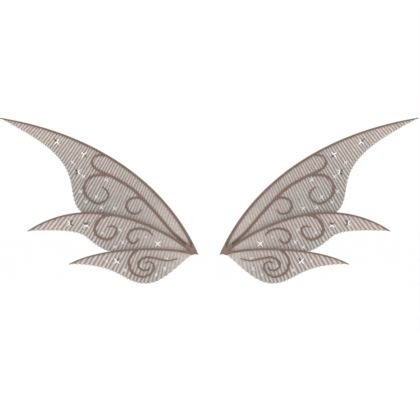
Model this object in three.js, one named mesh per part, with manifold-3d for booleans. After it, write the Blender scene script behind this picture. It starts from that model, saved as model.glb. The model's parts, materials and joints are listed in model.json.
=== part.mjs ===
// Fairy wings: a pair of costume wings, each a fan of three pleated leaves on one pivot, carried by
// a hinged base plate that is sewn to the back of a costume.
//
// Millimetres. +X is to the right seen from behind the wearer, +Y points at the wearer, +Z is up.
// The origin lies midway between the wings, on the wearer's back, at the height of the wing roots.
// One wing is drawn, the right one. u is measured outwards from its sharp root and w upwards, so
// x = u, z = w, and y is the depth. The left wing is the same set of pieces, mirrored.

import * as THREE from "three";
import { mergeVertices } from "three/addons/utils/BufferGeometryUtils.js";
import Module from "manifold-3d";

const wasm = await Module();
wasm.setup();

// ---------------------------------------------------------------- driving dimensions

const rootGap = 50; // between the two sharp roots
const wingReach = 475; // root to outer tip, sideways
const wingRise = 328; // root to outer tip, upwards
const sweepDepth = 28; // how far the leaves curve away from the wearer at the outer tip
const clearance = 0.3; // between pieces that touch or turn on each other

// Leaves
const layerPitch = 6; // from one leaf to the next in front of it
const sheetThickness = 0.6;
const sheetStart = 7.5; // cloth begins this far from the pivot
const pleatRoom = 1.5; // left free behind the cloth of the rearmost leaf
const sheetTipWidth = 1.2;
const sheetAcrossSteps = 5; // from a leaf's leading edge to its trailing edge
const sparDepth = 2.8;
const scrollDepth = 1.8;
const starRadius = 11;
const starWaist = 2; // radius at the four inner corners
const starShoulder = 4.5; // from the middle to where an arm begins to narrow
const starArmHalfWidth = 1.5;
const starDepth = 1.6;

// Widths of the spars, at the root and at the tip
const upperSparWidth = [6.8, 2.2];
const middleSparWidth = [6.3, 2.4];
const lowerSparWidth = [5.3, 2.2];
const sparTaper = 0.5; // below 1 the spars stay thick for longer and then thin quickly
// How far from the root each spar's run begins
const upperSparStart = 6;
const middleSparStart = 12;
const lowerSparStart = 13;
const scrollTipWidth = 1.6;
const strokeStep = 10; // length of one straight piece of a scroll

// Pivot: all three leaves turn on one post near the root
const pivotU = 13;
const pivotW = 8;
const postRadius = 1.75;
const postSocket = 2; // depth of the post's and the stop pin's foot in the bracket
const eyeletRadius = 5.2;
const washerRadius = 4;
const neckHalfWidth = 2;
const neckReach = 22; // from the root, along the spar, to where its neck joins it
const tailLength = 9; // tail of each spar, on the body side of the pivot
const tailHalfWidth = 1.5;
const stopPinRadius = 1.1;
const stopPinReach = 6; // from the pivot, along the tail
const stopLugRadius = 2.8;
const screwShankRadius = 1;
const screwShankLength = 6;
const screwHeadRadius = 3.4;
const screwHeadDepth = 1.8;
const capDepth = 3.5;
const capPocketSlack = 0.6; // around the screw head

// Hinge and base plate
const plateThickness = 3;
const bracketThickness = 2.4;
const hingeU = 13;
const barrelRadius = 2.8;
const barrelBottom = 1.8;
const barrelHeight = 16.8;
const hingePinRadius = 1.1;
const hingePinHeadRadius = 2;
const hingePinHeadHeight = 0.9;
const sewHoleRadius = 1.6;
const sewHoleInset = 9;
const cornerRadius = 2;
const stopRibWidth = 2.5;
const stopRibU = 25;
const stopRibBottom = 12;
const stopRibTop = 30;

// ---------------------------------------------------------------- depths, from the wearer out

const plateFront = -plateThickness;
const hingeY = plateFront - clearance - barrelRadius;
const bracketBack = hingeY - barrelRadius - clearance;
const bracketFront = bracketBack - bracketThickness;
const firstSheetY = bracketFront - pleatRoom - sheetThickness / 2;

// The middle of a leaf's cloth, and the back face of the spars and scrolls that lie on it.
const sheetY = (layer) => firstSheetY - layer * layerPitch;
const sparBack = (layer) => sheetY(layer) - sheetThickness / 2 - clearance;
const sparFront = (layer) => sparBack(layer) - sparDepth;

// ---------------------------------------------------------------- outline of the leaves

const drawnReach = 475; // the size that the outlines and the scrolls are drawn at
const drawnRise = 328;
const pivot = new THREE.Vector2(pivotU, pivotW);

function at(u, w) {
  return new THREE.Vector2((u * wingReach) / drawnReach, (w * wingRise) / drawnRise);
}

function bezier(a, b, c, d) {
  return new THREE.CubicBezierCurve(at(...a), at(...b), at(...c), at(...d));
}

// A curve that starts on the circle round the pivot where the cloth begins, at the given angle.
function hiddenTrail(degrees, b, c, d) {
  const angle = THREE.MathUtils.degToRad(degrees);
  const root = new THREE.Vector2(Math.cos(angle), Math.sin(angle)).multiplyScalar(sheetStart).add(pivot);
  return new THREE.CubicBezierCurve(root, at(...b), at(...c), at(...d));
}

const upperLead = bezier([0, 0], [75, 172.7], [248.4, 293], [475, 328]);
const middleLead = bezier([0, 0], [112, 92], [278, 147], [410, 57.3]);
const lowerLead = bezier([0, 0], [55, 24.7], [231.5, 23.2], [311, -22]);

// Each trailing edge runs from the root to the tip. Its first stretch hides behind the next leaf.
const upperTrail = [
  { steps: 8, curve: hiddenTrail(10, [100, 45], [205, 70], [276, 98.5]) },
  { steps: 3, curve: bezier([276, 98.5], [306, 116.5], [300, 156], [310.5, 187]) },
  { steps: 6, curve: bezier([310.5, 187], [331, 254.5], [413.5, 291.5], [475, 328]) },
];
const middleTrail = [
  { steps: 7, curve: hiddenTrail(-46, [90, 10], [180, 4], [217, 9]) },
  { steps: 4, curve: bezier([217, 9], [238, 15], [254, 30], [274, 46]) },
  { steps: 5, curve: bezier([274, 46], [296, 59], [340, 60], [410, 57.3]) },
];
const lowerTrail = [
  { steps: 6, curve: hiddenTrail(-69, [47, -22], [89, -73], [131, -68.7]) },
  { steps: 7, curve: bezier([131, -68.7], [182, -67], [190, -21], [311, -22]) },
];

// ---------------------------------------------------------------- solids

function toSolid(geometry) {
  const bare = geometry.clone();
  bare.deleteAttribute("normal");
  bare.deleteAttribute("uv");
  const merged = mergeVertices(bare, 1e-4);
  return new wasm.Manifold(
    new wasm.Mesh({
      numProp: 3,
      vertProperties: merged.getAttribute("position").array,
      triVerts: new Uint32Array(merged.index.array),
    })
  );
}

function toGeometry(solid) {
  const mesh = solid.getMesh();
  const geometry = new THREE.BufferGeometry();
  geometry.setAttribute("position", new THREE.BufferAttribute(mesh.vertProperties, 3));
  geometry.setIndex(new THREE.BufferAttribute(mesh.triVerts, 1));
  return geometry;
}

// The piece that is left when a cut also leaves a sliver.
function largestBody(solid) {
  return solid.decompose().reduce((best, body) => (body.volume() > best.volume() ? body : best));
}

// A flat plate of the given outline, from its back face towards -Y.
function plate(outline, back, thickness) {
  const options = { depth: thickness, bevelEnabled: false, curveSegments: 6 };
  return toSolid(new THREE.ExtrudeGeometry(outline, options).rotateX(Math.PI / 2).translate(0, back, 0));
}

// A round bar along Y.
function rod(centre, radius, back, front, sides = 20) {
  const geometry = new THREE.CylinderGeometry(radius, radius, back - front, sides);
  return toSolid(geometry.translate(centre.x, (back + front) / 2, centre.y));
}

// A round bar along Z, on the hinge's axis.
function hingeRod(radius, bottom, top, sides = 16) {
  const geometry = new THREE.CylinderGeometry(radius, radius, top - bottom, sides);
  return toSolid(geometry.rotateX(Math.PI / 2).translate(hingeU, hingeY, (bottom + top) / 2));
}

function block(lowest, highest) {
  const size = highest.map((value, i) => value - lowest[i]);
  const middle = highest.map((value, i) => (value + lowest[i]) / 2);
  return toSolid(new THREE.BoxGeometry(...size).translate(...middle));
}

// A closed outline through the given corners, each rounded off.
function roundedOutline(corners, radius) {
  const shape = new THREE.Shape();
  corners.forEach((corner, i) => {
    const before = corners[(i + corners.length - 1) % corners.length];
    const after = corners[(i + 1) % corners.length];
    const enter = before.clone().sub(corner).setLength(radius).add(corner);
    const leave = after.clone().sub(corner).setLength(radius).add(corner);
    if (i === 0) shape.moveTo(enter.x, enter.y);
    else shape.lineTo(enter.x, enter.y);
    shape.quadraticCurveTo(corner.x, corner.y, leave.x, leave.y);
  });
  shape.closePath();
  return shape;
}

// The direction from a leading edge into its leaf.
function inward(path, t) {
  const tangent = path.getTangentAt(t);
  return new THREE.Vector2(tangent.y, -tangent.x);
}

// A bar of even width between two points.
function bar(from, to, halfWidth, back, depth) {
  const side = to.clone().sub(from).setLength(halfWidth);
  side.set(-side.y, side.x);
  const corners = [
    from.clone().add(side),
    from.clone().sub(side),
    to.clone().sub(side),
    to.clone().add(side),
  ];
  return plate(new THREE.Shape(corners), back, depth);
}

// A flattened cord along a curve in the plane of the wing. halfWidth(t) is half its width from its
// start, t = 0, to its end, t = 1. With edge = 1 its outer edge lies on the curve instead of its
// middle. grown makes it larger all round, for cutting the room that a neighbour keeps to it.
function cord(path, halfWidth, back, depth, options = {}) {
  const { steps = 16, sides = 6, start = 0, edge = 0, grown = 0 } = options;
  const geometry = new THREE.CylinderGeometry(1, 1, 1, sides, steps, false, Math.PI / sides);
  const flat = Math.cos(Math.PI / sides);
  const position = geometry.getAttribute("position");
  for (let i = 0; i < position.count; i++) {
    const t = position.getY(i) + 0.5;
    const along = start + (1 - start) * t;
    const offset = halfWidth(t) * edge + position.getX(i) * (halfWidth(t) + grown);
    const point = inward(path, along).multiplyScalar(offset).add(path.getPointAt(along));
    const y = back - depth / 2 - (position.getZ(i) / flat) * (depth / 2 + grown);
    position.setXYZ(i, point.x, y, point.y);
  }
  return toSolid(geometry);
}

// Curves a piece of a leaf away from the wearer, by the distance from the pivot alone, so that
// the leaves keep their spacing as they fan.
function swept(solid) {
  return solid.warp((vertex) => {
    const reach = Math.hypot(vertex[0] - pivotU, vertex[2] - pivotW);
    vertex[1] -= sweepDepth * (reach / Math.hypot(wingReach - pivotU, wingRise - pivotW)) ** 2;
  });
}

// ---------------------------------------------------------------- spars, cloth and trim

function taper([rootWidth, tipWidth]) {
  return (t) => (tipWidth + (rootWidth - tipWidth) * (1 - t) ** sparTaper) / 2;
}

// Thin at both ends. A lean of 1 puts the thickest place in the middle, and less puts it earlier.
function swelling(width, lean) {
  const swell = (t) => Math.sqrt(Math.max(0, Math.sin(Math.PI * t ** lean)));
  return (t) => (scrollTipWidth + (width - scrollTipWidth) * swell(t)) / 2;
}

// The point at a given distance from the root, in the middle of a spar.
function sparMiddle(lead, width, distance) {
  const t = distance / lead.getLength();
  return inward(lead, t).multiplyScalar(taper(width)(t)).add(lead.getPointAt(t));
}

// Where the stop pin stands: beside the tails, which bear on it when the leaves are spread.
const tailDirection = pivot.clone().negate().normalize();
const stopPin = new THREE.Vector2(tailDirection.y, -tailDirection.x)
  .multiplyScalar(tailHalfWidth + stopPinRadius + clearance)
  .addScaledVector(tailDirection, stopPinReach)
  .add(pivot);
const tailEnd = tailDirection.clone().multiplyScalar(tailLength).add(pivot);

// A spar with its neck, eyelet and tail. start is where its outer edge begins, from the root.
function spar(lead, width, layer, start) {
  const back = sparBack(layer);
  const run = cord(lead, taper(width), back, sparDepth, {
    steps: 18,
    sides: 8,
    start: start / lead.getLength(),
    edge: 1,
  });
  const eyelet = rod(pivot, eyeletRadius, back, back - sparDepth);
  const neck = bar(pivot, sparMiddle(lead, width, neckReach), neckHalfWidth, back, sparDepth);
  const tail = bar(pivot, tailEnd, tailHalfWidth, back, sparDepth);
  const hole = rod(pivot, postRadius + clearance, back + 1, back - sparDepth - 1);
  return run.add(eyelet).add(neck).add(tail).subtract(hole);
}

// The room round a spar, for cutting the scrolls that end on it.
function sparRoom(lead, width, layer, start) {
  return cord(lead, taper(width), sparBack(layer), sparDepth, {
    steps: 18,
    sides: 8,
    start: start / lead.getLength(),
    edge: 1,
    grown: clearance,
  });
}

// The cloth of one leaf, from the middle of its spar to its trailing edge.
function sheet(lead, width, trail, layer) {
  const leadLength = lead.getLength();
  const leadStart = (sheetStart + pivot.length()) / leadLength;
  const trailLength = trail.reduce((sum, stretch) => sum + stretch.curve.getLength(), 0);
  const rows = [];
  let passed = 0;
  trail.forEach(({ curve, steps }, stretch) => {
    for (let i = stretch === 0 ? 0 : 1; i <= steps; i++) {
      const share = (passed + (curve.getLength() * i) / steps) / trailLength;
      const t = Math.min(1, leadStart + (1 - leadStart) * share);
      const front = inward(lead, t).multiplyScalar(taper(width)(t)).add(lead.getPointAt(t));
      rows.push({ front, rear: curve.getPointAt(i / steps) });
    }
    passed += curve.getLength();
  });
  const tip = rows[rows.length - 1];
  tip.rear = inward(lead, 1).multiplyScalar(sheetTipWidth).add(tip.front);

  const geometry = new THREE.BoxGeometry(1, 1, 1, rows.length - 1, sheetAcrossSteps, 1);
  const position = geometry.getAttribute("position");
  for (let i = 0; i < position.count; i++) {
    const row = rows[Math.round((position.getX(i) + 0.5) * (rows.length - 1))];
    const point = row.front.clone().lerp(row.rear, 0.5 - position.getY(i));
    position.setXYZ(i, point.x, sheetY(layer) - position.getZ(i) * sheetThickness, point.y);
  }
  return toSolid(geometry);
}

// A curved stroke laid on the cloth, through points given from its root to its curled end.
function stroke({ layer, width, lean, points }, grown = 0) {
  const path = new THREE.SplineCurve(points.map(([u, w]) => at(u, w)));
  path.arcLengthDivisions = 400;
  const steps = Math.ceil(path.getLength() / strokeStep);
  return cord(path, swelling(width, lean), sparBack(layer), scrollDepth, { steps, grown });
}

// A four-armed star, laid on the cloth with its arms along the diagonals.
function star(place, layer) {
  const shoulder = new THREE.Vector2(starArmHalfWidth, starShoulder);
  const corners = [];
  for (let arm = 0; arm < 4; arm++) {
    const turn = ((arm + 0.5) * Math.PI) / 2;
    const lean = Math.atan2(shoulder.x, shoulder.y);
    corners.push([starWaist, turn - Math.PI / 4], [shoulder.length(), turn - lean]);
    corners.push([starRadius, turn], [shoulder.length(), turn + lean]);
  }
  const points = corners.map(([radius, angle]) => {
    return new THREE.Vector2(Math.sin(angle), Math.cos(angle)).multiplyScalar(radius).add(place);
  });
  return plate(new THREE.Shape(points), sparBack(layer), starDepth);
}

// The vein and the scrolls: the leaf that each lies on, and its width at the thickest place.
const strokes = {
  upper_vein: {
    layer: 0, width: 6.6, lean: 0.8,
    points: [
      [20, 17], [44, 37.5], [68, 59.5], [109, 107], [157, 156], [205, 186], [241, 203], [256, 219],
      [248, 237], [222, 239],
    ],
  },
  upper_scroll: {
    layer: 0, width: 5.8, lean: 0.6,
    points: [
      [215, 190], [248, 191], [269, 178], [275, 155], [265, 136], [240, 123], [218, 137], [220, 153],
      [233, 164],
    ],
  },
  upper_curl: {
    layer: 0, width: 5, lean: 0.7,
    points: [
      [126, 126], [146, 137], [166, 133], [174, 119], [168, 104], [153, 98.5], [143, 102], [136.5, 109],
    ],
  },
  middle_scroll: {
    layer: 1, width: 6.1, lean: 0.6,
    points: [
      [204, 95], [226, 93], [242, 81], [249.5, 62], [243, 46], [221, 36.5], [203, 45], [196.5, 59],
      [204, 68], [219, 67],
    ],
  },
  middle_curl: {
    layer: 1, width: 5.4, lean: 1,
    points: [
      [109, 46], [122, 58], [145, 63], [163, 57], [171, 45], [166, 32], [156, 28], [147, 33], [144, 40],
    ],
  },
  lower_scroll: {
    layer: 2, width: 5.3, lean: 0.6,
    points: [
      [140, 14], [155, 5], [167, -14], [160, -41], [134, -53], [115, -45.5], [106.5, -32], [109, -22],
      [121, -16], [130, -21],
    ],
  },
  lower_curl: {
    layer: 2, width: 5, lean: 1.5,
    points: [
      [49, -9], [74, -14], [101, -9], [126, -6], [143, -16], [144, -28], [133, -37], [120, -35],
      [117, -28],
    ],
  },
};

const stars = {
  upper_star_1: { layer: 0, place: at(340, 271) },
  upper_star_2: { layer: 0, place: at(275, 240) },
  upper_star_3: { layer: 0, place: at(290, 199) },
  middle_star_1: { layer: 1, place: at(308, 76) },
  middle_star_2: { layer: 1, place: at(270, 72) },
  middle_star_3: { layer: 1, place: at(98, 26) },
  lower_star_1: { layer: 2, place: at(196, -15) },
};

// ---------------------------------------------------------------- root hardware

const knuckleHeight = (barrelHeight - 2 * clearance) / 3;
const middleKnuckle = barrelBottom + knuckleHeight + clearance;
const topKnuckle = middleKnuckle + knuckleHeight + clearance;
const barrelTop = barrelBottom + barrelHeight;

// One third of the hinge's barrel, with the web that joins it to a plate.
function knuckle(bottom, webFrom, webTo) {
  const top = bottom + knuckleHeight;
  const barrel = hingeRod(barrelRadius, bottom, top);
  const web = block(
    [hingeU - barrelRadius, Math.min(webFrom, webTo), bottom],
    [hingeU + barrelRadius, Math.max(webFrom, webTo), top]
  );
  const bore = hingeRod(hingePinRadius + clearance, bottom - 1, top + 1);
  return barrel.add(web).subtract(bore);
}

const plateCorners = [
  new THREE.Vector2(9, 0.5),
  new THREE.Vector2(31, -6),
  new THREE.Vector2(31, 45),
  new THREE.Vector2(9, 16.5),
];

// The base plate, sewn to the costume, with the lower and upper knuckles and the rib that the
// bracket rests on when the wing is spread.
function basePlate() {
  const middle = plateCorners.reduce((sum, corner) => sum.add(corner), new THREE.Vector2());
  middle.divideScalar(plateCorners.length);
  const body = plate(roundedOutline(plateCorners, cornerRadius), 0, plateThickness);
  const holes = plateCorners.slice(1, 3).map((corner) => {
    const place = middle.clone().sub(corner).setLength(sewHoleInset).add(corner);
    return rod(place, sewHoleRadius, 1, -plateThickness - 1);
  });
  const rib = block(
    [stopRibU, bracketBack + clearance, stopRibBottom],
    [stopRibU + stopRibWidth, -plateThickness / 2, stopRibTop]
  );
  const webEnd = -plateThickness / 2;
  return body
    .subtract(holes[0])
    .subtract(holes[1])
    .add(knuckle(barrelBottom, hingeY, webEnd))
    .add(knuckle(topKnuckle, hingeY, webEnd))
    .add(rib);
}

function hingePin() {
  const shank = hingeRod(hingePinRadius, barrelBottom, barrelTop + clearance + hingePinHeadHeight / 2);
  const headBottom = barrelTop + clearance;
  return shank.add(hingeRod(hingePinHeadRadius, headBottom, headBottom + hingePinHeadHeight));
}

const stopPinSeat = new THREE.Vector2(2.4, 2.6); // from the stop pin to the bracket's end and sides
const bracketCorners = [
  stopPin.clone().sub(stopPinSeat),
  new THREE.Vector2(20, 1.5),
  new THREE.Vector2(28, 6),
  new THREE.Vector2(30, 38),
  new THREE.Vector2(27, 45),
  new THREE.Vector2(stopPin.x - stopPinSeat.x, stopPin.y + stopPinSeat.y),
];

// The bracket that carries the fan, with the middle knuckle and the seats of the post and stop pin.
function bracket() {
  const seat = bracketFront + postSocket;
  return plate(roundedOutline(bracketCorners, cornerRadius), bracketBack, bracketThickness)
    .add(knuckle(middleKnuckle, hingeY, bracketBack - bracketThickness / 2))
    .subtract(rod(pivot, postRadius + clearance, seat, bracketFront - 1))
    .subtract(rod(stopPin, stopPinRadius + clearance, seat, bracketFront - 1));
}

// The post reaches through all three eyelets, and the screw goes into its front end.
function pivotPost() {
  const socket = rod(pivot, screwShankRadius + clearance, sparFront(2) + screwShankLength, sparFront(2) - 1);
  return rod(pivot, postRadius, bracketFront + postSocket - clearance, sparFront(2)).subtract(socket);
}

function pivotScrew() {
  const headBack = sparFront(2) - clearance;
  const shankEnd = sparFront(2) + screwShankLength - clearance;
  const head = rod(pivot, screwHeadRadius, headBack, headBack - screwHeadDepth);
  return head.add(rod(pivot, screwShankRadius, shankEnd, headBack - screwHeadDepth / 2));
}

function washer(back, front) {
  const hole = rod(pivot, postRadius + clearance, back + 1, front - 1);
  return rod(pivot, washerRadius, back, front).subtract(hole);
}

// The cap hides the screw, closes the sharp root and reaches a short way along the three spars.
function rootCap() {
  const outline = new THREE.Shape();
  outline.moveTo(0, 0);
  outline.quadraticCurveTo(5, 12, 12, 25.4);
  outline.quadraticCurveTo(16.2, 26, 17.6, 22.9);
  outline.quadraticCurveTo(15.6, 19.5, 14.8, 17.6);
  outline.quadraticCurveTo(20.5, 21.5, 27, 27.6);
  outline.quadraticCurveTo(33, 24.5, 31, 17.8);
  outline.quadraticCurveTo(25.5, 14, 21, 10.4);
  outline.quadraticCurveTo(25, 9.9, 30, 9.6);
  outline.quadraticCurveTo(33, 7.2, 30.2, 4.9);
  outline.quadraticCurveTo(22, 4.2, 13, 2.5);
  outline.quadraticCurveTo(6, 1.4, 0, 0);
  const back = sparFront(2) - clearance;
  const pocket = rod(
    pivot,
    screwHeadRadius + capPocketSlack,
    back + 1,
    back - screwHeadDepth - clearance
  );
  return plate(outline, back, capDepth).subtract(pocket);
}

// ---------------------------------------------------------------- materials

function material(color, roughness, metalness = 0) {
  return new THREE.MeshStandardMaterial({ color, roughness, metalness });
}

const cloth = material(0xbbb0a9, 0.6);
const brownCord = material(0x866e62, 0.5);
const crystal = material(0xe8e4e2, 0.15);
const steel = material(0x9a948f, 0.35, 1);
const brownPaint = material(0x7c665b, 0.45);

// ---------------------------------------------------------------- one wing

function upperSpar() {
  const lug = rod(stopPin, stopLugRadius, sparBack(0), sparFront(0));
  const hole = rod(stopPin, stopPinRadius + clearance, sparBack(0) + 1, sparFront(0) - 1);
  return spar(upperLead, upperSparWidth, 0, upperSparStart).add(lug).subtract(hole);
}

const upperRoom = sparRoom(upperLead, upperSparWidth, 0, upperSparStart);
const middleRoom = sparRoom(middleLead, middleSparWidth, 1, middleSparStart);
const lowerRoom = sparRoom(lowerLead, lowerSparWidth, 2, lowerSparStart);
const veinRoom = stroke(strokes.upper_vein, clearance);

// Leaf pieces, each curved back with its leaf.
const leafPieces = {
  upper_leaf_sheet: [sheet(upperLead, upperSparWidth, upperTrail, 0), cloth],
  upper_spar: [upperSpar(), brownCord],
  upper_vein: [stroke(strokes.upper_vein).subtract(upperRoom), brownCord],
  upper_scroll: [stroke(strokes.upper_scroll).subtract(veinRoom), brownCord],
  upper_curl: [stroke(strokes.upper_curl).subtract(veinRoom), brownCord],
  middle_leaf_sheet: [sheet(middleLead, middleSparWidth, middleTrail, 1), cloth],
  middle_spar: [spar(middleLead, middleSparWidth, 1, middleSparStart), brownCord],
  middle_scroll: [stroke(strokes.middle_scroll).subtract(middleRoom), brownCord],
  middle_curl: [stroke(strokes.middle_curl), brownCord],
  lower_leaf_sheet: [sheet(lowerLead, lowerSparWidth, lowerTrail, 2), cloth],
  lower_spar: [spar(lowerLead, lowerSparWidth, 2, lowerSparStart), brownCord],
  lower_scroll: [stroke(strokes.lower_scroll).subtract(lowerRoom), brownCord],
  lower_curl: [stroke(strokes.lower_curl), brownCord],
};
for (const [name, { layer, place }] of Object.entries(stars)) leafPieces[name] = [star(place, layer), crystal];

const rootPieces = {
  base_plate: [basePlate(), brownPaint],
  hinge_pin: [hingePin(), steel],
  wing_bracket: [bracket(), brownPaint],
  pivot_post: [pivotPost(), steel],
  stop_pin: [rod(stopPin, stopPinRadius, bracketFront + postSocket - clearance, sparFront(2)), steel],
  rear_washer: [washer(bracketFront - clearance, sparBack(0) + clearance), steel],
  middle_washer: [washer(sparFront(0) - clearance, sparBack(1) + clearance), steel],
  front_washer: [washer(sparFront(1) - clearance, sparBack(2) + clearance), steel],
  pivot_screw: [pivotScrew(), steel],
  root_cap: [rootCap(), brownPaint],
};

function wing(side) {
  const group = new THREE.Group();
  for (const [name, [solid, finish]] of Object.entries(leafPieces)) {
    const mesh = new THREE.Mesh(toGeometry(swept(largestBody(solid))), finish);
    mesh.name = `${side}_${name}`;
    group.add(mesh);
  }
  for (const [name, [solid, finish]] of Object.entries(rootPieces)) {
    const mesh = new THREE.Mesh(toGeometry(solid), finish);
    mesh.name = `${side}_${name}`;
    group.add(mesh);
  }
  return group;
}

const rightWing = wing("right");
rightWing.position.x = rootGap / 2;
const leftWing = wing("left");
leftWing.scale.x = -1;
leftWing.position.x = -rootGap / 2;

const fairyWings = new THREE.Group();
fairyWings.add(leftWing, rightWing);

export default fairyWings;
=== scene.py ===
"""Fairy wings: pleated cloth leaves, wrapped spars and scrolls, star stones and root hardware.

Everything is in metres, in the frame's own axes: +X right seen from behind the wearer, +Y towards
the wearer, +Z up. One wing is described, the right one: u is measured outwards from its sharp root
and w upwards, so x = u and z = w. The left wing uses the same pieces, mirrored.
"""

import json
import math

import bmesh
import bpy
import numpy as np
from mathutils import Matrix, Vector

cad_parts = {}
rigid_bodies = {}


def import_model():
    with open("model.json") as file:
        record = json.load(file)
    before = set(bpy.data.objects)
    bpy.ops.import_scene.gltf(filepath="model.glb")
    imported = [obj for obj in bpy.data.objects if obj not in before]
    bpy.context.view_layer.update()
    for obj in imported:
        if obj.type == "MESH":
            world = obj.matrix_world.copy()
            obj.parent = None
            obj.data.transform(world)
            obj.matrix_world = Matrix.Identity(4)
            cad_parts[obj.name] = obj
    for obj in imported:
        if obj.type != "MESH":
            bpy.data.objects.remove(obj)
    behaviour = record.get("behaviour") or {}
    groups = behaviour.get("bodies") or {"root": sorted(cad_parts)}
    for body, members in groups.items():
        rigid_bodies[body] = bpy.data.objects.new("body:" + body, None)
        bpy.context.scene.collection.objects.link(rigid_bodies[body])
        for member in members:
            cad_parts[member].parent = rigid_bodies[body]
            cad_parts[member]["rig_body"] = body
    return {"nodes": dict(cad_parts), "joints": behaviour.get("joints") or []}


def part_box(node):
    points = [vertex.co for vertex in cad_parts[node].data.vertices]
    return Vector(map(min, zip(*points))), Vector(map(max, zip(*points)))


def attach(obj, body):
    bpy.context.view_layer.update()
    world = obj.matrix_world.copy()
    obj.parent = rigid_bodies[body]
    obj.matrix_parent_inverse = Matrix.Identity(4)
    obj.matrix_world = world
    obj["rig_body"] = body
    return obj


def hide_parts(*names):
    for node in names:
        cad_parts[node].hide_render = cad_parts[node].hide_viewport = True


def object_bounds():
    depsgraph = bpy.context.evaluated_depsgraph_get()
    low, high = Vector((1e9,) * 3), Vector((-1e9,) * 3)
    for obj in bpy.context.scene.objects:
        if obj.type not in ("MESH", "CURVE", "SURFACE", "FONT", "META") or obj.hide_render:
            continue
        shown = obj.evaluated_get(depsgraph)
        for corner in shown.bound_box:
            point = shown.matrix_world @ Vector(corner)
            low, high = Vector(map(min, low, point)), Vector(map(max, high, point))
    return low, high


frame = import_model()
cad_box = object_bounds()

MM = 0.001
scene = bpy.context.scene
SIDES = {"left": -1, "right": 1}
LEAVES = ("upper", "middle", "lower")
joints = {joint["name"]: joint for joint in frame["joints"]}

# ---------------------------------------------------------------- sizes

WING_TIP = (475, 328)  # the upper leaf's tip, in millimetres from the root
PLEAT_DEPTH = 0.85 * MM  # half of the height from a fold's crest to its valley
PLEAT_SAMPLES = 8
CLOTH_ROWS = 48
CLOTH_THICKNESS = 0.25 * MM
CLOTH_LEAST_WIDTH = 0.8 * MM  # the cloth ends where the leaf gets narrower than this
TOOTH = 1.3 * MM  # how far the pleats' ends stand out along the trailing edge
TOOTH_ROOM = 12 * MM  # width of leaf at which the teeth and the folds reach their full size
FOLD_ROOM = 16 * MM
PINCH = 0.45  # the folds' share of their depth where they are sewn to the spar
PINCH_REACH = 14 * MM
# How the folds wander: by how much of a pleat, over what length, and how the next pleat follows
WANDERS = ((0.07, 9 * MM, 2.4), (0.05, 23 * MM, -0.7))
CRINKLE = 0.18  # how much the crests rise and dip, over what length
CRINKLE_LENGTH = 2.3 * MM
SHEET_THICKNESS = 0.6 * MM  # of the plain CAD sheet
CLEARANCE = 0.3 * MM
SPAR_DEPTH = 2.8 * MM
TAB_INSET = 0.2 * MM  # of a spar's eyelet and neck, behind the cord's faces
TAB_BEVEL = 0.35 * MM
EYELET_HOLE_RADIUS = 2.05 * MM
SCROLL_DEPTH = 1.8 * MM
SWEEP_DEPTH = 28 * MM
# In millimetres: widths at the root and the tip, and where the cord begins along its edge
SPAR_WIDTHS = {"upper": (7.2, 2.4), "middle": (6.3, 2.4), "lower": (5.3, 2.2)}
SPAR_STARTS = {"upper": 6, "middle": 19, "lower": 13}
SCROLL_TIP_WIDTH = 1.6
VEIN_ROOT_WIDTH = 5.4
WRAP_PITCH = 6.8 * MM
WRAP_STEP = 0.08  # height of the ribbon's edge, as a share of the cord's radius
CORD_NOSE = 1.4  # length of a cord's rounded end, as a share of half its width
SHEET_START = 7.5 * MM
STAR_RADIUS = 11 * MM
STAR_WAIST = 2 * MM
STAR_SHOULDER = 4.5 * MM
STAR_ARM_HALF_WIDTH = 1.5 * MM
STAR_HEIGHT = 1.6 * MM
STAR_RIM = 0.3 * MM
# Waist, shoulder and half the arm's width of a small stone, as shares of its radius
SMALL_STAR_SHARES = (0.16, 0.42, 0.12)
SMALL_STAR_HEIGHT = 0.9 * MM
PLASTIC_BEVEL = 0.3 * MM
PIN_BEVEL = 0.15 * MM
WASHER_BEVEL = 0.2 * MM
CAP_BEVEL = 0.9 * MM

PICTURE_MARGIN = 1.0072  # the picture's width, as a share of the wings' span
PICTURE_X = 2.4 * MM  # the point in the middle of the picture
PICTURE_Z = 107.5 * MM

# ---------------------------------------------------------------- places, from the frame

root_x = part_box("right_root_cap")[0].x
pivot_joint = Vector(joints["right_middle_leaf_fan"]["pos_m"])
PIVOT = np.array([pivot_joint.x - root_x, pivot_joint.z])
TIP_REACH = np.linalg.norm(np.array(WING_TIP) * MM - PIVOT)


def sheet_y(leaf):
    """The middle of a leaf's plain CAD sheet, near the root, where it isn't swept."""
    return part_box(f"right_{leaf}_leaf_sheet")[1].y - SHEET_THICKNESS / 2


def spar_back(leaf):
    return sheet_y(leaf) - SHEET_THICKNESS / 2 - CLEARANCE


def sweep(points):
    """How far the leaves curve away from the wearer at these (u, w) points."""
    reach = np.linalg.norm(points - PIVOT, axis=-1)
    return SWEEP_DEPTH * (reach / TIP_REACH) ** 2


def place(side, points, y):
    """(u, w) points at depth y, as points in the frame."""
    x = SIDES[side] * (root_x + points[..., 0])
    return np.stack([x, np.broadcast_to(y, x.shape), points[..., 1]], axis=-1)


# ---------------------------------------------------------------- curves

def bezier(a, b, c, d, count=80):
    t = np.linspace(0, 1, count)[:, None]
    a, b, c, d = (np.array(point, float) * MM for point in (a, b, c, d))
    return (1 - t) ** 3 * a + 3 * (1 - t) ** 2 * t * b + 3 * (1 - t) * t**2 * c + t**3 * d


def joined(*curves):
    return np.concatenate([curves[0]] + [curve[1:] for curve in curves[1:]])


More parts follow.
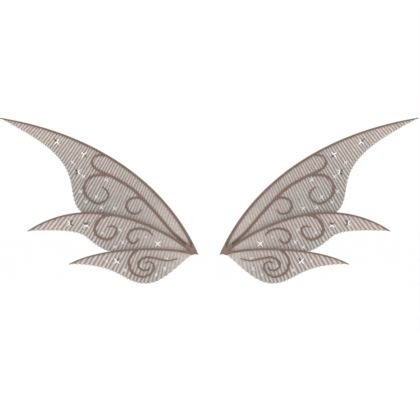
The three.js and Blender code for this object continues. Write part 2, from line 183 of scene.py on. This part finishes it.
def spline(points, per_span=24):
    """A smooth curve through points, as a Catmull-Rom spline."""
    points = np.array(points, float) * MM
    ends = np.concatenate([[2 * points[0] - points[1]], points, [2 * points[-1] - points[-2]]])
    t = np.linspace(0, 1, per_span, endpoint=False)[:, None]
    spans = []
    for p0, p1, p2, p3 in zip(ends, ends[1:], ends[2:], ends[3:]):
        slope_1, slope_2 = (p2 - p0) / 2, (p3 - p1) / 2
        spans.append(
            (2 * t**3 - 3 * t**2 + 1) * p1 + (t**3 - 2 * t**2 + t) * slope_1
            + (3 * t**2 - 2 * t**3) * p2 + (t**3 - t**2) * slope_2
        )
    return np.concatenate(spans + [points[-1:]])


def lengths(path):
    return np.concatenate([[0], np.cumsum(np.linalg.norm(np.diff(path, axis=0), axis=1))])


def resampled(path, distances):
    along = lengths(path)
    return np.stack([np.interp(distances, along, path[:, k]) for k in (0, 1)], axis=-1)


def inward(path):
    """Unit vectors from a leading edge into its leaf."""
    tangent = np.gradient(path, axis=0)
    tangent /= np.linalg.norm(tangent, axis=1)[:, None]
    return np.stack([tangent[:, 1], -tangent[:, 0]], axis=-1)


def sheet_root(degrees):
    """Where the cloth begins on the circle round the pivot, in millimetres."""
    angle = math.radians(degrees)
    return (PIVOT + SHEET_START * np.array([math.cos(angle), math.sin(angle)])) / MM


LEAD = {
    "upper": bezier((0, 0), (75, 172.7), (248.4, 293), WING_TIP),
    "middle": bezier((0, 0), (112, 92), (278, 147), (410, 57.3)),
    "lower": bezier((0, 0), (55, 24.7), (231.5, 23.2), (311, -22)),
}
TRAIL = {
    "upper": joined(
        bezier(sheet_root(10), (100, 45), (205, 70), (276, 98.5)),
        bezier((276, 98.5), (306, 116.5), (300, 156), (310.5, 187)),
        bezier((310.5, 187), (331, 254.5), (413.5, 291.5), WING_TIP),
    ),
    "middle": joined(
        bezier(sheet_root(-46), (90, 10), (180, 4), (217, 9)),
        bezier((217, 9), (238, 15), (254, 30), (274, 46)),
        bezier((274, 46), (296, 59), (340, 60), (410, 57.3)),
    ),
    "lower": joined(
        bezier(sheet_root(-69), (47, -22), (89, -73), (131, -68.7)),
        bezier((131, -68.7), (182, -67), (190, -21), (311, -22)),
    ),
}
# The pleats of a leaf fan out from one point above it, at even angles: the point and the angle
PLEAT_FAN = {
    "upper": (np.array([-237, 1059]) * MM, 0.00679),
    "middle": (np.array([-98, 658]) * MM, 0.01156),
    "lower": (np.array([-54, 472]) * MM, 0.01594),
}

# Each stroke's width at its thickest place, how late that place comes, and its points
STROKES = {
    "upper_vein": (6.6, 0.8, [
        (20, 17), (44, 37.5), (68, 59.5), (109, 107), (157, 156), (205, 186), (241, 203), (256, 219),
        (248, 237), (222, 239),
    ]),
    "upper_scroll": (5.8, 0.6, [
        (215, 190), (248, 191), (269, 178), (275, 155), (265, 136), (240, 123), (218, 137), (220, 153),
        (233, 164),
    ]),
    "upper_curl": (5, 0.7, [
        (126, 126), (146, 137), (166, 133), (174, 119), (168, 104), (153, 98.5), (143, 102),
        (136.5, 109),
    ]),
    "middle_scroll": (6.1, 0.6, [
        (204, 95), (226, 93), (242, 81), (249.5, 62), (243, 46), (221, 36.5), (203, 45), (196.5, 59),
        (204, 68), (219, 67),
    ]),
    "middle_curl": (5.4, 1, [
        (109, 46), (122, 58), (145, 63), (163, 57), (171, 45), (166, 32), (156, 28), (147, 33),
        (144, 40),
    ]),
    "lower_scroll": (5.3, 0.6, [
        (140, 14), (155, 5), (167, -14), (160, -41), (134, -53), (115, -45.5), (106.5, -32),
        (109, -22), (121, -16), (130, -21),
    ]),
    "lower_curl": (5, 1.5, [
        (49, -9), (74, -14), (101, -9), (126, -6), (143, -16), (144, -28), (133, -37), (120, -35),
        (117, -28),
    ]),
}
# Each large stone's place, and which of its arms are dark, clockwise from the upper outer one
STARS = {
    "upper_star_1": ((340, 271), (0,)), "upper_star_2": ((275, 240), (2,)),
    "upper_star_3": ((290, 199), (0, 1)), "middle_star_1": ((308, 76), (2, 3)),
    "middle_star_2": ((270, 72), (0, 3)), "middle_star_3": ((98, 26), ()),
    "lower_star_1": ((196, -15), (3,)),
}
# Each small stone's place and radius
SMALL_STARS = {
    "upper": [
        (303, 222, 7.5), (277, 188, 7.5), (284, 152, 7), (271, 127, 6.5), (246, 139, 7.5),
        (234, 113, 7.5), (222, 180, 7.5), (202, 111, 7.5),
    ],
    "middle": [(189, 60, 6.5), (231, 52, 6), (182, 30, 7.5), (201, 18, 7.5), (127, 42, 5.5)],
    "lower": [
        (81, -33, 7.5), (102, -48, 6), (76, -9, 6.5), (220, -15, 6.5), (177, -37, 7.5), (138, -29, 6),
    ],
}


def taper(widths):
    root_width, tip_width = widths
    return lambda t: (tip_width + (root_width - tip_width) * (1 - t) ** 0.5) / 2 * MM


def swelling(width, lean, root_width=SCROLL_TIP_WIDTH):
    def half(t):
        swell = np.sqrt(np.clip(np.sin(np.pi * t**lean), 0, 1))
        thin = root_width + (SCROLL_TIP_WIDTH - root_width) * t
        return (thin + (width - thin) * swell) / 2 * MM
    return half


# ---------------------------------------------------------------- mesh helpers

def mesh_object(name, vertices, faces, smooth=True):
    mesh = bpy.data.meshes.new(name)
    mesh.from_pydata([tuple(v) for v in vertices], [], [tuple(int(i) for i in f) for f in faces])
    mesh.validate()
    if smooth:
        mesh.shade_smooth()
    thing = bpy.data.objects.new(name, mesh)
    scene.collection.objects.link(thing)
    facing_out(thing)
    return thing


def facing_out(thing):
    work = bmesh.new()
    work.from_mesh(thing.data)
    bmesh.ops.recalc_face_normals(work, faces=work.faces)
    work.to_mesh(thing.data)
    work.free()


def float_attribute(thing, name, values):
    attribute = thing.data.attributes.new(name, "FLOAT", "POINT")
    attribute.data.foreach_set("value", np.asarray(values, np.float32).ravel())


def finished(thing, material, body, slot, *nodes):
    """Dresses a piece, makes it ride on its body and stand for its CAD nodes."""
    thing.data.materials.clear()
    thing.data.materials.append(material)
    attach(thing, body)
    if nodes:
        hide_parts(*nodes)
    return thing


def body_of(side, leaf):
    return f"{side}_wing" if leaf == "upper" else f"{side}_{leaf}_leaf"


# ---------------------------------------------------------------- cloth

def spar_middle(leaf):
    """The line along the middle of a spar, which the cloth is sewn to."""
    along = lengths(LEAD[leaf]) / lengths(LEAD[leaf])[-1]
    half = taper(SPAR_WIDTHS[leaf])(along)
    return LEAD[leaf] + inward(LEAD[leaf]) * half[:, None]


def pleat_wave(phase):
    """A fold that rises slowly and falls fast, between -1 and 1, once for each whole phase."""
    turn = 2 * np.pi * phase
    return np.sin(turn + 0.45 * np.sin(turn))


def leaf_cloth(side, leaf, material):
    centre, pleat_angle = PLEAT_FAN[leaf]

    def polar(path):
        """Angles round the fan's point, from straight down, and distances from it."""
        u, w = (path - centre).T
        return np.maximum.accumulate(np.arctan2(u, -w)), np.hypot(u, w)

    lead_angle, lead_distance = polar(spar_middle(leaf))
    trail_angle, trail_distance = polar(TRAIL[leaf])
    step = pleat_angle / PLEAT_SAMPLES
    start, end = max(lead_angle[0], trail_angle[0]), min(lead_angle[-1], trail_angle[-1])
    angles = np.arange(math.ceil(start / step), int(end / step)) * step
    top = np.interp(angles, lead_angle, lead_distance)
    bottom = np.interp(angles, trail_angle, trail_distance)
    wide = bottom - top > CLOTH_LEAST_WIDTH
    angles, top, bottom = angles[wide], top[wide], bottom[wide]

    height = bottom - top
    bottom = bottom + TOOTH * pleat_wave(angles / pleat_angle) * np.minimum(1, height / TOOTH_ROOM)
    share = np.linspace(0, 1, CLOTH_ROWS)  # from the leading edge to the trailing one
    distance = top[:, None] + (bottom - top)[:, None] * share
    # Pressed by hand: the folds wander a little, and their crests rise and dip.
    pleat = (angles / pleat_angle)[:, None]
    wander = sum(size * np.sin(distance / length + lag * pleat) for size, length, lag in WANDERS)
    fold = pleat_wave(pleat + wander)
    crinkle = 1 + CRINKLE * np.sin(distance / CRINKLE_LENGTH + 4.4 * np.floor(pleat) ** 2)
    downward = np.stack([np.sin(angles), -np.cos(angles)], -1)
    points = centre + distance[..., None] * downward[:, None]

    from_lead = height[:, None] * share
    pinch = PINCH + (1 - PINCH) * np.minimum(1, from_lead / PINCH_REACH)
    slim = np.minimum(1, height / FOLD_ROOM)[:, None]
    reach = np.linalg.norm(points - PIVOT, axis=-1) / np.linalg.norm(LEAD[leaf][-1] - PIVOT)
    opening = np.minimum(1, 0.35 + 1.3 * reach)  # the pleats lie flatter near the root
    lift = PLEAT_DEPTH * fold * crinkle * pinch * slim * opening
    middle = sheet_y(leaf) + CLEARANCE + CLOTH_THICKNESS / 2 + PLEAT_DEPTH * 0.1
    depth = middle - lift - sweep(points)

    half = CLOTH_THICKNESS / 2
    front = place(side, points, depth - half)
    back = place(side, points, depth + half)
    n = distance.size
    index = np.arange(n).reshape(distance.shape)
    quads = np.stack([index[:-1, :-1], index[1:, :-1], index[1:, 1:], index[:-1, 1:]], -1).reshape(-1, 4)
    rim = np.concatenate([index[:, 0], index[-1, 1:], index[-2::-1, -1], index[0, -2:0:-1]])
    walls = np.stack([rim, np.roll(rim, -1), np.roll(rim, -1) + n, rim + n], -1)
    faces = np.concatenate([quads, quads[:, ::-1] + n, walls])
    front = front.reshape(-1, 3)
    vertices = np.concatenate([front, back.reshape(-1, 3)])
    cloth = mesh_object(f"{side}_{leaf}_leaf_cloth", vertices, faces)
    for name, values in (("fold", fold * crinkle), ("from_lead", from_lead), ("reach", reach)):
        float_attribute(cloth, name, np.tile(np.ravel(values), 2))
    uv = cloth.data.uv_layers.new(name="cloth")
    around = np.broadcast_to(angles[:, None] * distance.mean(), distance.shape)
    flat = np.tile(np.stack([around, distance], -1).reshape(-1, 2), (2, 1))
    loops = np.empty(len(cloth.data.loops), np.int32)
    cloth.data.loops.foreach_get("vertex_index", loops)
    uv.data.foreach_set("uv", flat[loops].astype(np.float32).ravel())

    finished(cloth, material, body_of(side, leaf), "pleated_cloth", f"{side}_{leaf}_leaf_sheet")


# ---------------------------------------------------------------- cords

def cord(name, side, path, half_width, back, depth, start=0.0, edge=0, sides=12, step=0.7 * MM):
    """A ribbon-wrapped cord along a path. With edge = 1 its outer edge lies on the path."""
    total = lengths(path)[-1]
    steps = int((total - start) / step)
    distances = np.linspace(start, total, steps)
    t = (distances - start) / (total - start)
    centre = resampled(path, distances)
    half = half_width(t)
    lateral = inward(centre)
    centre = centre + lateral * (half * edge)[:, None]
    # Both ends close in a rounded point.
    nose = np.minimum(distances - start, total - distances) / (CORD_NOSE * half)
    closing = np.sqrt(np.clip(1 - (1 - np.clip(nose, 0, 1)) ** 2, 0.0004, 1))
    half_depth = np.minimum(depth / 2, half * 1.05) * closing
    half = half * closing
    angle = np.arange(sides) * 2 * np.pi / sides
    wrap = (distances[:, None] / WRAP_PITCH - angle / (2 * np.pi)) % 1
    swell = 1 - WRAP_STEP * wrap
    aside = half[:, None] * np.cos(angle) * swell
    offset = centre[:, None, :] + lateral[:, None, :] * aside[..., None]
    raised = back - half_depth[:, None] * (1 + np.sin(angle) * swell)
    ring = place(side, offset, raised - sweep(centre)[:, None])
    index = np.arange(steps * sides).reshape(steps, sides)
    around = np.roll(index, -1, axis=1)
    quads = np.stack([index[:-1], index[1:], around[1:], around[:-1]], -1).reshape(-1, 4)
    faces = [*quads, index[0], index[-1][::-1]]
    thing = mesh_object(name, ring.reshape(-1, 3), faces)
    float_attribute(thing, "wrap", wrap)
    return thing


def root_tab_outline(leaf):
    """The eyelet, the neck to the spar and the tail, as one outline round the pivot."""
    eyelet, neck_half, tail_half, tail = (value * MM for value in (5.2, 2.0, 1.5, 9.0))
    path = spar_middle(leaf)
    neck_end = resampled(path, np.array([22 * MM]))[0] - PIVOT
    bars = [(neck_end, neck_half), (-PIVOT / np.linalg.norm(PIVOT) * tail, tail_half)]
    outline = []
    for angle in np.linspace(0, 2 * np.pi, 144, endpoint=False):
        ray = np.array([math.cos(angle), math.sin(angle)])
        radius = eyelet
        for end, half in bars:
            reach = np.linalg.norm(end)
            ahead = ray @ end / reach
            aside = abs(ray[0] * end[1] - ray[1] * end[0]) / reach
            if ahead > 0:
                radius = max(radius, min(reach / ahead, half / max(aside, 1e-6)))
        outline.append(PIVOT + ray * radius)
    return outline


def flat_plate(name, side, outlines, back, thickness, bevel, segments=3):
    """A plate in the plane of the wing with rounded edges: an outline and any holes."""
    curve = bpy.data.curves.new(name, "CURVE")
    curve.dimensions = "2D"
    curve.fill_mode = "BOTH"
    curve.extrude = thickness / 2 - bevel
    curve.bevel_depth = bevel
    curve.bevel_resolution = segments
    curve.offset = -bevel
    for outline in outlines:
        line = curve.splines.new("POLY")
        line.points.add(len(outline) - 1)
        for point, (u, w) in zip(line.points, outline):
            point.co = (u, w, 0, 1)
        line.use_cyclic_u = True
    drawn = bpy.data.objects.new(name + "_drawing", curve)
    scene.collection.objects.link(drawn)
    bpy.context.view_layer.update()
    mesh = bpy.data.meshes.new_from_object(drawn.evaluated_get(bpy.context.evaluated_depsgraph_get()))
    bpy.data.objects.remove(drawn)
    mesh.name = name
    for vertex in mesh.vertices:
        u, w, z = vertex.co
        vertex.co = (SIDES[side] * (root_x + u), back - thickness / 2 - z, w)
    thing = bpy.data.objects.new(name, mesh)
    scene.collection.objects.link(thing)
    work = bmesh.new()
    work.from_mesh(mesh)
    bmesh.ops.remove_doubles(work, verts=work.verts, dist=1e-6)
    bmesh.ops.recalc_face_normals(work, faces=work.faces)
    work.to_mesh(mesh)
    work.free()
    mesh.shade_smooth()
    mesh.set_sharp_from_angle(angle=math.radians(40))
    return thing


def circle(centre, radius, count=40):
    angles = np.linspace(0, 2 * np.pi, count, endpoint=False)
    return [centre + radius * np.array([math.cos(a), math.sin(a)]) for a in angles]


def leaf_spar(side, leaf, material):
    cord_run = cord(
        f"{side}_{leaf}_spar_cord", side, LEAD[leaf], taper(SPAR_WIDTHS[leaf]), spar_back(leaf),
        SPAR_DEPTH, start=SPAR_STARTS[leaf] * MM, edge=1, sides=14,
    )
    finished(cord_run, material, body_of(side, leaf), "brown_cord", f"{side}_{leaf}_spar")
    outlines = [root_tab_outline(leaf), circle(PIVOT, EYELET_HOLE_RADIUS)]
    tab = flat_plate(
        f"{side}_{leaf}_spar_eyelet", side, outlines,
        spar_back(leaf) - TAB_INSET, SPAR_DEPTH - 2 * TAB_INSET, TAB_BEVEL,
    )
    finished(tab, material, body_of(side, leaf), "brown_cord")


def leaf_strokes(side, material):
    for name, (width, lean, points) in STROKES.items():
        leaf = name.split("_")[0]
        root_width = VEIN_ROOT_WIDTH if name == "upper_vein" else SCROLL_TIP_WIDTH
        half_width = swelling(width, lean, root_width)
        path, back = spline(points), spar_back(leaf)
        stroke = cord(f"{side}_{name}_cord", side, path, half_width, back, SCROLL_DEPTH)
        finished(stroke, material, body_of(side, leaf), "brown_cord", f"{side}_{name}")


# ---------------------------------------------------------------- star stones

def star_mesh(name, side, centre, leaf, sizes, height):
    """A four-armed cut stone: its arms lie along the diagonals, with a ridge down each."""
    radius, waist, shoulder, half_width = sizes
    centre = np.array(centre, float) * MM
    base = spar_back(leaf) + 0.1 * MM
    lean = math.atan2(half_width, shoulder)
    reach = math.hypot(half_width, shoulder)
    corners = [(waist, -math.pi / 4), (reach, -lean), (radius, 0), (reach, lean)]
    outline = []
    for arm in range(4):
        for size, bend in corners:
            angle = (arm + 0.5) * math.pi / 2 + bend
            outline.append((size * math.sin(angle), size * math.cos(angle)))
    outline = centre + np.array(outline)
    middle = centre[None]
    rings = [(outline, 0), (outline, STAR_RIM), (middle, height), (middle, 0)]
    vertices = np.concatenate([place(side, points, base - up - sweep(points)) for points, up in rings])
    faces = []
    count = len(outline)
    for i in range(count):
        j = (i + 1) % count
        faces.append((i, j, count + j, count + i))
        faces += [(count + i, count + j, 2 * count), (j, i, 2 * count + 1)]
    return mesh_object(name, vertices, faces, smooth=False)


def star_stones(side, bright, dark):
    sizes = (STAR_RADIUS, STAR_WAIST, STAR_SHOULDER, STAR_ARM_HALF_WIDTH)
    for name, (centre, dark_arms) in STARS.items():
        leaf = name.split("_")[0]
        star = star_mesh(f"{side}_{name}_stone", side, centre, leaf, sizes, STAR_HEIGHT)
        finished(star, bright, body_of(side, leaf), "star_stone", f"{side}_{name}")
        star.data.materials.append(dark)
        for facet in star.data.polygons:
            at = facet.center
            u, w = (SIDES[side] * at.x - root_x) / MM - centre[0], at.z / MM - centre[1]
            arm = {(1, 1): 0, (1, 0): 1, (0, 0): 2, (0, 1): 3}[int(u > 0), int(w > 0)]
            facet.material_index = int(arm in dark_arms and math.hypot(u, w) > STAR_WAIST / MM)


def small_stars(side, material):
    for leaf, centres in SMALL_STARS.items():
        parts = []
        for number, (u, w, radius) in enumerate(centres):
            sizes = [share * radius * MM for share in (1, *SMALL_STAR_SHARES)]
            parts.append(star_mesh(f"part_{number}", side, (u, w), leaf, sizes, SMALL_STAR_HEIGHT))
        with bpy.context.temp_override(active_object=parts[0], selected_editable_objects=parts):
            bpy.ops.object.join()
        stars = parts[0]
        stars.name = f"{side}_{leaf}_small_stars"
        finished(stars, material, body_of(side, leaf), "star_stone")


# ---------------------------------------------------------------- root hardware

def bevelled(node, material, slot, width):
    """The CAD node's own shape with its flat faces cleaned up and its edges broken."""
    source = frame["nodes"][node]
    mesh = source.data.copy()
    mesh.name = node + "_finished"
    work = bmesh.new()
    work.from_mesh(mesh)
    bmesh.ops.remove_doubles(work, verts=work.verts, dist=1e-6)
    bmesh.ops.dissolve_limit(work, angle_limit=math.radians(1), verts=work.verts, edges=work.edges)
    sharp = [e for e in work.edges if e.is_manifold and e.calc_face_angle(0) > math.radians(40)]
    bmesh.ops.bevel(
        work, geom=sharp, offset=width, segments=2, profile=0.5, affect="EDGES", clamp_overlap=True
    )
    bmesh.ops.recalc_face_normals(work, faces=work.faces)
    work.to_mesh(mesh)
    work.free()
    mesh.shade_smooth()
    mesh.set_sharp_from_angle(angle=math.radians(35))
    thing = bpy.data.objects.new(node + "_finished", mesh)
    scene.collection.objects.link(thing)
    return finished(thing, material, source["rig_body"], slot, node)


def root_hardware(side, plastic, steel):
    for part in ("base_plate", "wing_bracket"):
        bevelled(f"{side}_{part}", plastic, "brown_plastic", PLASTIC_BEVEL)
    for part in ("hinge_pin", "pivot_post", "stop_pin", "pivot_screw"):
        bevelled(f"{side}_{part}", steel, "pin_steel", PIN_BEVEL)
    for part in ("rear_washer", "middle_washer", "front_washer"):
        bevelled(f"{side}_{part}", steel, "pin_steel", WASHER_BEVEL)
    low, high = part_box(f"{side}_root_cap")
    # The outline's curves one after another, each as its start, its bend and its end
    bends = [
        (0, 0), (5, 12), (12, 25.4), (16.2, 26), (17.6, 22.9), (15.6, 19.5), (14.8, 17.6),
        (20.5, 21.5), (27, 27.6), (33, 24.5), (31, 17.8), (25.5, 14), (21, 10.4), (25, 9.9),
        (30, 9.6), (33, 7.2),
        (30.2, 4.9), (22, 4.2), (13, 2.5), (6, 1.4), (0, 0),
    ]
    outline = joined(*(quadratic(*bends[i:i + 3]) for i in range(0, len(bends) - 1, 2)))[:-1]
    depth = high.y - low.y
    cap = flat_plate(f"{side}_root_cap_shell", side, [outline], high.y, depth, CAP_BEVEL, 4)
    finished(cap, plastic, f"{side}_wing", "brown_plastic", f"{side}_root_cap")


def quadratic(a, b, c, count=14):
    t = np.linspace(0, 1, count)[:, None]
    a, b, c = (np.array(point, float) * MM for point in (a, b, c))
    return (1 - t) ** 2 * a + 2 * (1 - t) * t * b + t**2 * c


# ---------------------------------------------------------------- materials

def srgb(r, g, b):
    """An 8-bit display colour as a linear one."""
    def linear(value):
        value /= 255
        return value / 12.92 if value <= 0.04045 else ((value + 0.055) / 1.055) ** 2.4
    return (linear(r), linear(g), linear(b), 1)


class Nodes:
    """A material's node tree with short calls for the nodes that the finishes share."""

    def __init__(self, name, **settings):
        self.material = bpy.data.materials.new(name)
        self.material.use_nodes = True
        self.tree = self.material.node_tree
        self.shader = self.tree.nodes["Principled BSDF"]
        for key, value in settings.items():
            self.shader.inputs[key.replace("_", " ")].default_value = value

    def new(self, kind, **settings):
        node = self.tree.nodes.new("ShaderNode" + kind)
        for key, value in settings.items():
            setattr(node, key, value)
        return node

    def link(self, output, target):
        self.tree.links.new(output, target)

    def attribute(self, name):
        return self.new("Attribute", attribute_name=name).outputs["Fac"]

    def math(self, operation, a, b):
        node = self.new("Math", operation=operation)
        for socket, value in zip(node.inputs, (a, b)):
            if isinstance(value, (int, float)):
                socket.default_value = value
            else:
                self.link(value, socket)
        return node.outputs[0]

    def remap(self, value, low, high, to_low=0.0, to_high=1.0):
        node = self.new("MapRange", clamp=True)
        self.link(value, node.inputs["Value"])
        ends = {"From Min": low, "From Max": high, "To Min": to_low, "To Max": to_high}
        for key, number in ends.items():
            node.inputs[key].default_value = number
        return node.outputs["Result"]

    def mix(self, factor, a, b, blend="MIX"):
        node = self.new("Mix", data_type="RGBA", blend_type=blend)
        if isinstance(factor, (int, float)):
            node.inputs[0].default_value = factor
        else:
            self.link(factor, node.inputs[0])
        for socket, value in ((node.inputs[6], a), (node.inputs[7], b)):
            if isinstance(value, tuple):
                socket.default_value = value
            else:
                self.link(value, socket)
        return node.outputs[2]

    def noise(self, scale, detail):
        node = self.new("TexNoise")
        node.inputs["Scale"].default_value = scale
        node.inputs["Detail"].default_value = detail
        self.link(self.new("TexCoord").outputs["Object"], node.inputs["Vector"])
        return node.outputs["Fac"]

    def bump(self, height, strength, distance):
        node = self.new("Bump")
        node.inputs["Strength"].default_value = strength
        node.inputs["Distance"].default_value = distance
        self.link(height, node.inputs["Height"])
        self.link(node.outputs["Normal"], self.shader.inputs["Normal"])


def cloth_material():
    """Fine organza, pinker at the leading edge and greyer behind, with painted shade in the folds'
    valleys and painted light on their crests, lifted near the root.
    """
    n = Nodes("pleated_organza", Roughness=0.6, Sheen_Weight=0.1, Sheen_Roughness=0.4)
    reach = n.attribute("reach")
    # Painted shade and light of the pleats: darker in each fold's valley and lighter on its crest, with
    # less contrast near the root.
    crest = n.remap(n.attribute("fold"), -0.8, 0.8)
    contrast = n.remap(reach, 0.1, 0.6, 0.35, 1.15)
    crest = n.math("ADD", n.math("MULTIPLY", n.math("SUBTRACT", crest, 0.5), contrast), 0.5)
    # Painted light near the root: the folds' colour is lifted there to offset the shade that the leaves
    # and cords cast on each other.
    crest = n.math("ADD", crest, n.remap(reach, 0.05, 0.3, 0.22, 0.0))
    behind = n.remap(n.attribute("from_lead"), 0.02, 0.11)
    light = n.mix(behind, srgb(209, 198, 192), srgb(200, 193, 188))
    dark = n.mix(behind, srgb(154, 138, 129), srgb(138, 128, 121))
    painted_fold_shading = n.mix(crest, dark, light)
    # Greyer and darker in a band across the middle of each leaf, between its root and its tip.
    greyer_mid_leaf = n.math("MULTIPLY", n.remap(reach, 0.05, 0.25), n.remap(reach, 0.55, 0.85, 1, 0))
    painted_fold_shading = n.mix(greyer_mid_leaf, painted_fold_shading, n.mix(1.0, painted_fold_shading, (0.89, 0.905, 0.915, 1), "MULTIPLY"))
    mottle = n.remap(n.noise(38, 4), 0.3, 0.7, 0.95, 1.05)
    dapple = n.remap(n.noise(260, 2), 0.3, 0.7, 0.86, 1.14)
    shade = n.math("MULTIPLY", mottle, dapple)
    gray = n.new("CombineColor")
    for socket in gray.inputs:
        n.link(shade, socket)
    coloured = n.mix(1.0, painted_fold_shading, gray.outputs[0], "MULTIPLY")
    uv = n.new("UVMap", uv_map="cloth").outputs["UV"]
    threads = []
    for direction in ("X", "Y"):
        wave = n.new("TexWave", bands_direction=direction, wave_profile="SIN")
        wave.inputs["Scale"].default_value = 900
        n.link(uv, wave.inputs["Vector"])
        threads.append(wave.outputs["Fac"])
    weave = n.math("MULTIPLY", *threads)
    # Painted glints: tiny near-white specks mixed into the cloth's colour.
    glint = n.remap(n.noise(900, 1), 0.68, 0.74)
    cloth_with_painted_glints = n.mix(n.math("MULTIPLY", glint, 0.5), coloured, srgb(240, 232, 226))
    n.link(cloth_with_painted_glints, n.shader.inputs["Base Color"])
    n.link(n.remap(weave, 0, 1, 0.66, 0.52), n.shader.inputs["Roughness"])
    n.bump(weave, 0.25, 0.0001)
    return n.material


def cord_material():
    """Satin ribbon wound round wire: brown, with painted shade along the overlap of each turn and
    painted glints, worn a little.
    """
    n = Nodes("brown_satin_ribbon", Roughness=0.5, Sheen_Weight=0.08)
    wrap = n.attribute("wrap")
    # Painted shade: darker along each turn where the ribbon overlaps.
    overlap_painted_shade = n.remap(wrap, 0.0, 0.4)
    drift = n.remap(n.noise(30, 2), 0.35, 0.65)
    hue = n.mix(drift, srgb(137, 103, 91), srgb(126, 104, 87))
    rubbed = n.mix(1.0, hue, (0.82, 0.82, 0.82, 1), "MULTIPLY")
    tone = n.mix(n.remap(n.noise(160, 4), 0.3, 0.7), hue, rubbed)
    shaded = n.mix(overlap_painted_shade, srgb(92, 70, 60), tone)
    # Painted glints: small light flecks mixed into the ribbon's colour.
    fleck = n.remap(n.noise(1400, 1), 0.7, 0.76)
    ribbon_with_painted_glints = n.mix(n.math("MULTIPLY", fleck, 0.3), shaded, srgb(176, 152, 138))
    n.link(ribbon_with_painted_glints, n.shader.inputs["Base Color"])
    n.link(n.remap(n.noise(300, 3), 0.3, 0.7, 0.45, 0.6), n.shader.inputs["Roughness"])
    n.bump(n.noise(2200, 2), 0.12, 0.0001)
    return n.material


def plastic_material():
    n = Nodes("brown_moulded_plastic", Roughness=0.42, Coat_Weight=0.1)
    tone = n.mix(n.remap(n.noise(120, 5), 0.3, 0.7), srgb(118, 94, 82), srgb(136, 111, 98))
    # Lighter along the sharp edges, picked out by the surface's pointiness.
    edge = n.new("NewGeometry").outputs["Pointiness"]
    lighter_edges = n.mix(n.remap(edge, 0.53, 0.6, 0, 0.5), tone, srgb(176, 152, 138))
    n.link(lighter_edges, n.shader.inputs["Base Color"])
    n.link(n.remap(n.noise(260, 3), 0.3, 0.7, 0.36, 0.52), n.shader.inputs["Roughness"])
    n.bump(n.noise(1500, 3), 0.15, 0.0001)
    return n.material


def steel_material():
    n = Nodes("pin_steel", Metallic=1.0)
    tone = n.mix(n.remap(n.noise(200, 4), 0.3, 0.7), srgb(150, 146, 141), srgb(188, 184, 178))
    n.link(tone, n.shader.inputs["Base Color"])
    n.link(n.remap(n.noise(500, 3), 0.3, 0.7, 0.25, 0.45), n.shader.inputs["Roughness"])
    n.bump(n.noise(3000, 2), 0.08, 0.0001)
    return n.material


def stone_material(name, low, high, roughness):
    n = Nodes(name, Roughness=roughness, Coat_Weight=0.6, Coat_Roughness=0.05)
    n.link(n.mix(n.remap(n.noise(420, 3), 0.35, 0.65), low, high), n.shader.inputs["Base Color"])
    polish = n.remap(n.noise(700, 2), 0.3, 0.7, roughness * 0.7, roughness * 1.3)
    n.link(polish, n.shader.inputs["Roughness"])
    return n.material


# ---------------------------------------------------------------- the studio

def camera():
    """Square to the wings, with the framing of a catalogue picture."""
    data = bpy.data.cameras.new("camera")
    data.lens = 110
    data.sensor_width = 36
    cam = bpy.data.objects.new("camera", data)
    scene.collection.objects.link(cam)
    low, high = cad_box
    distance = (high.x - low.x) * PICTURE_MARGIN * data.lens / data.sensor_width
    cam.location = (PICTURE_X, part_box("right_lower_spar")[1].y - distance, PICTURE_Z)
    cam.rotation_euler = (math.radians(90), 0, 0)
    scene.camera = cam


def area_light(name, location, target, size, power):
    data = bpy.data.lights.new(name, "AREA")
    data.shape = "DISK"
    data.size = size
    data.energy = power
    lamp = bpy.data.objects.new(name, data)
    scene.collection.objects.link(lamp)
    lamp.location = location
    lamp.rotation_euler = (Vector(target) - Vector(location)).to_track_quat("-Z", "Y").to_euler()


def studio():
    half, drop = 30, 0.55
    corners = [(-half, -half, -drop), (half, -half, -drop), (half, half, -drop), (-half, half, -drop)]
    floor = mesh_object("floor", corners, [(0, 1, 2, 3)], smooth=False)
    n = Nodes("pale_floor", Roughness=0.9)
    paper = n.mix(n.noise(2, 2), srgb(254, 254, 254), srgb(255, 255, 255))
    n.link(paper, n.shader.inputs["Base Color"])
    floor.data.materials.append(n.material)
    world = bpy.data.worlds.new("studio")
    world.use_nodes = True
    world.node_tree.nodes["Background"].inputs["Color"].default_value = (1, 1, 1, 1)
    world.node_tree.nodes["Background"].inputs["Strength"].default_value = 1.0
    scene.world = world
    centre = (0, 0, 0.12)
    area_light("key", (-1.6, -2.6, 2.4), centre, 1.0, 10)
    area_light("fill", (2.2, -2.6, 1.2), centre, 1.6, 5)
    area_light("rim", (0.6, 2.4, 1.8), centre, 1.2, 12)
    scene.view_settings.view_transform = "Standard"


def main():
    camera()
    cloth, ribbon = cloth_material(), cord_material()
    plastic, steel = plastic_material(), steel_material()
    bright = stone_material("bright_stone", srgb(244, 240, 238), srgb(255, 254, 253), 0.14)
    dark = stone_material("dark_stone", srgb(48, 42, 38), srgb(84, 76, 70), 0.18)
    soft_bright = stone_material("soft_stone", srgb(228, 222, 217), srgb(247, 244, 241), 0.2)
    for side in SIDES:
        for leaf in LEAVES:
            leaf_spar(side, leaf, ribbon)
            leaf_cloth(side, leaf, cloth)
        leaf_strokes(side, ribbon)
        star_stones(side, bright, dark)
        small_stars(side, soft_bright)
        root_hardware(side, plastic, steel)
    studio()


main()
